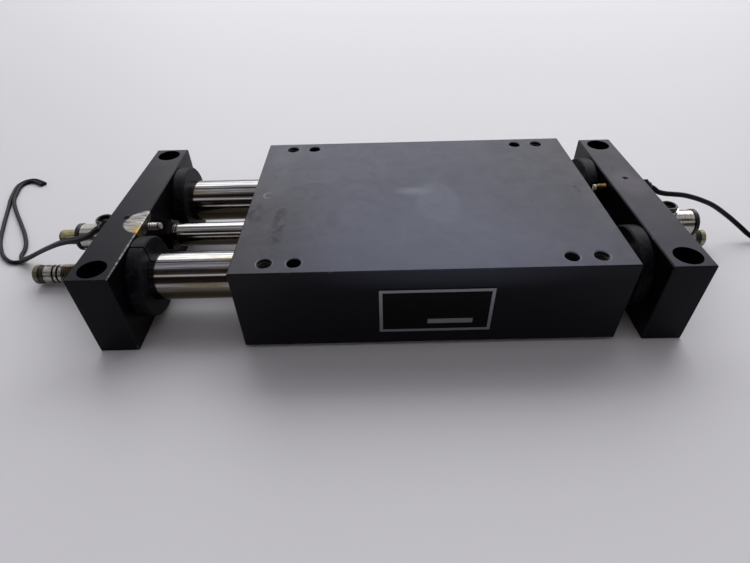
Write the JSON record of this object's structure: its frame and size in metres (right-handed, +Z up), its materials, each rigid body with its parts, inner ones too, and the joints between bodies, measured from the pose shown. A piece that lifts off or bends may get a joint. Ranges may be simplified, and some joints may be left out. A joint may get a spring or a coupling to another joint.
{
  "type": "pneumatic slide table",
  "caption": "Linear slide: a flat drilled carriage with a built-in air cylinder runs on round rods between end plates, with shock absorbers, sensors and flow controls.",
  "frame": {"origin": "centre of the four hold-down holes at the end plates' mounting faces, midway between the plates", "axes": "+X along the travel towards the right end plate, +Y to the back, +Z up from the mounting face; the nameplate faces -Y"},
  "size_m": [0.5167, 0.1754, 0.0461],
  "materials": {
    "black_anodised": "satin black anodising over milled aluminium",
    "hard_chrome": "ground and hard chromed, bright",
    "black_oxide": "black oxide, oiled",
    "nickel_plate": "nickel plated, semi-bright",
    "brass": "machined brass, dulled",
    "bearing_steel": "ground steel",
    "plain_aluminium": "turned, clear anodised",
    "spring_steel": "phosphated",
    "black_urethane": "smooth matt",
    "seal_rubber": "smooth matt",
    "black_acetal": "moulded, low sheen",
    "pale_resin": "cast resin",
    "cable_jacket": "extruded PVC, low sheen",
    "nameplate_foil": "printed black with a bare metal border"
  },
  "bodies": {
    "base": {"left_end_plate": "black_anodised", "right_end_plate": "black_anodised", "front_guide_rod": "hard_chrome", "rear_guide_rod": "hard_chrome", "guide_rod_screws": "black_oxide", "left_front_bumper": "black_urethane", "left_rear_bumper": "black_urethane", "right_front_bumper": "black_urethane", "right_rear_bumper": "black_urethane", "piston_rod": "hard_chrome", "piston": "plain_aluminium", "piston_seals": "seal_rubber", "piston_clips": "spring_steel", "left_rod_nut": "black_oxide", "right_rod_nut": "black_oxide", "left_sensor": "nickel_plate", "right_sensor": "brass", "left_sensor_face": "black_acetal", "right_sensor_face": "pale_resin", "left_sensor_nut": "black_oxide", "right_sensor_nut": "black_oxide", "left_sensor_boot": "black_acetal", "right_sensor_boot": "black_acetal", "sensor_set_screws": "black_oxide", "left_shock_barrel": "nickel_plate", "right_shock_barrel": "nickel_plate", "left_shock_nut": "nickel_plate", "right_shock_nut": "nickel_plate", "left_shock_ring": "seal_rubber", "right_shock_ring": "seal_rubber", "left_flow_control": "nickel_plate", "right_flow_control": "nickel_plate", "left_release_ring": "black_acetal", "right_release_ring": "black_acetal", "left_needle_collar": "black_acetal", "right_needle_collar": "black_acetal", "left_lead": "cable_jacket", "left_front_strand": "cable_jacket", "left_rear_strand": "cable_jacket", "left_lead_tail": "cable_jacket", "right_lead": "cable_jacket"},
    "carriage": {"carriage_block": "black_anodised", "front_left_bushing": "bearing_steel", "front_right_bushing": "bearing_steel", "rear_left_bushing": "bearing_steel", "rear_right_bushing": "bearing_steel", "guide_rod_wipers": "seal_rubber", "left_cylinder_head": "plain_aluminium", "right_cylinder_head": "plain_aluminium", "head_seals": "seal_rubber", "rod_seals": "seal_rubber", "head_clips": "spring_steel", "nameplate": "nameplate_foil"},
    "left_plunger": {"left_shock_plunger": "bearing_steel"},
    "right_plunger": {"right_shock_plunger": "bearing_steel"},
    "left_adjuster": {"left_shock_knob": "brass"},
    "right_adjuster": {"right_shock_knob": "brass"},
    "left_needle": {"left_needle_knob": "brass"},
    "right_needle": {"right_needle_knob": "brass"}
  },
  "joints": [
    {"name": "carriage_slide", "type": "slide", "parent": "base", "child": "carriage", "axis": [1, 0, 0], "range_m": [-0.04445, 0.00635]},
    {"name": "left_plunger_slide", "type": "slide", "parent": "base", "child": "left_plunger", "axis": [-1, 0, 0], "range_m": [0, 0.0055], "stiffness_N_per_m": 700, "springref_m": -0.005},
    {"name": "right_plunger_slide", "type": "slide", "parent": "base", "child": "right_plunger", "axis": [1, 0, 0], "range_m": [0, 0.0055], "stiffness_N_per_m": 700, "springref_m": -0.005},
    {"name": "left_adjuster_turn", "type": "hinge", "parent": "base", "child": "left_adjuster", "pos_m": [-0.194, -0.01, 0.0061], "axis": [1, 0, 0], "range_deg": [-180, 180]},
    {"name": "right_adjuster_turn", "type": "hinge", "parent": "base", "child": "right_adjuster", "pos_m": [0.183, 0.01, 0.0061], "axis": [1, 0, 0], "range_deg": [-180, 180]},
    {"name": "left_needle_turn", "type": "hinge", "parent": "base", "child": "left_needle", "pos_m": [-0.174, 0, 0.024], "axis": [1, 0, 0], "range_deg": [-720, 720]},
    {"name": "right_needle_turn", "type": "hinge", "parent": "base", "child": "right_needle", "pos_m": [0.165, 0, 0.024], "axis": [1, 0, 0], "range_deg": [-720, 720]}
  ]
}
